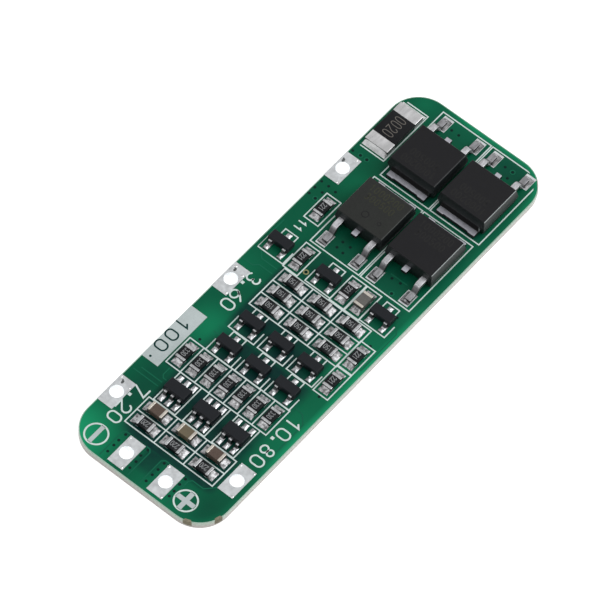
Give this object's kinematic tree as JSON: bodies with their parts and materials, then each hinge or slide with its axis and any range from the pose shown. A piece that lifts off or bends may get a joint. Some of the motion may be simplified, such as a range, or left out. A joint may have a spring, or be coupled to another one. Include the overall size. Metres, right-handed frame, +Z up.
{
  "type": "battery management board",
  "caption": "Small green protection circuit board for a series lithium cell pack, with power transistors, balancing resistors and plated wire holes along its edges.",
  "frame": {"origin": "middle of the underside", "axes": "+X along the board to the end with the power transistors, +Y to the long edge with the current shunt, +Z up out of the component side"},
  "size_m": [0.0596, 0.0196, 0.0033],
  "materials": {
    "black_overcoat": "black glazed overcoat on ceramic",
    "brown_ceramic": "brown fired ceramic",
    "grey_ceramic": "grey-beige fired ceramic",
    "moulding_compound": "charcoal epoxy moulding compound",
    "solder": "bright solder",
    "solder_mask": "green solder mask over glass-fibre laminate",
    "tinned_copper": "tinned copper foil",
    "tinned_metal": "satin tin plating",
    "white_ink": "printed ink"
  },
  "bodies": {
    "root": {"balance_resistor_bodies": "black_overcoat", "balance_resistor_ends": "tinned_metal", "battery_first_cell_terminal": "tinned_copper", "battery_minus_terminal": "tinned_copper", "battery_plus_terminal": "tinned_copper", "battery_second_cell_terminal": "tinned_copper", "charge_minus_terminal": "tinned_copper", "charge_plus_terminal": "tinned_copper", "circuit_board": "solder_mask", "component_lands": "tinned_copper", "control_capacitor_bodies": "grey_ceramic", "control_capacitor_ends": "tinned_metal", "control_resistor_bodies": "black_overcoat", "control_resistor_ends": "tinned_metal", "current_shunt_body": "black_overcoat", "current_shunt_ends": "tinned_metal", "filter_capacitor_bodies": "brown_ceramic", "filter_capacitor_ends": "tinned_metal", "ladder_resistor_bodies": "black_overcoat", "ladder_resistor_ends": "tinned_metal", "power_transistor_1_body": "moulding_compound", "power_transistor_1_drain_tab": "tinned_metal", "power_transistor_1_leads": "tinned_metal", "power_transistor_2_body": "moulding_compound", "power_transistor_2_drain_tab": "tinned_metal", "power_transistor_2_leads": "tinned_metal", "power_transistor_3_body": "moulding_compound", "power_transistor_3_drain_tab": "tinned_metal", "power_transistor_3_leads": "tinned_metal", "power_transistor_4_body": "moulding_compound", "power_transistor_4_drain_tab": "tinned_metal", "power_transistor_4_leads": "tinned_metal", "protection_chip_1_body": "moulding_compound", "protection_chip_1_leads": "tinned_metal", "protection_chip_2_body": "moulding_compound", "protection_chip_2_leads": "tinned_metal", "protection_chip_3_body": "moulding_compound", "protection_chip_3_leads": "tinned_metal", "signal_transistor_1_body": "moulding_compound", "signal_transistor_1_leads": "tinned_metal", "signal_transistor_2_body": "moulding_compound", "signal_transistor_2_leads": "tinned_metal", "signal_transistor_3_body": "moulding_compound", "signal_transistor_3_leads": "tinned_metal", "signal_transistor_4_body": "moulding_compound", "signal_transistor_4_leads": "tinned_metal", "signal_transistor_5_body": "moulding_compound", "signal_transistor_5_leads": "tinned_metal", "signal_transistor_6_body": "moulding_compound", "signal_transistor_6_leads": "tinned_metal", "signal_transistor_7_body": "moulding_compound", "signal_transistor_7_leads": "tinned_metal", "signal_transistor_8_body": "moulding_compound", "signal_transistor_8_leads": "tinned_metal", "signal_transistor_9_body": "moulding_compound", "signal_transistor_9_leads": "tinned_metal", "silkscreen_outlines": "white_ink", "solder_fillets": "solder", "supply_resistor_bodies": "black_overcoat", "supply_resistor_ends": "tinned_metal"}
  },
  "joints": []
}
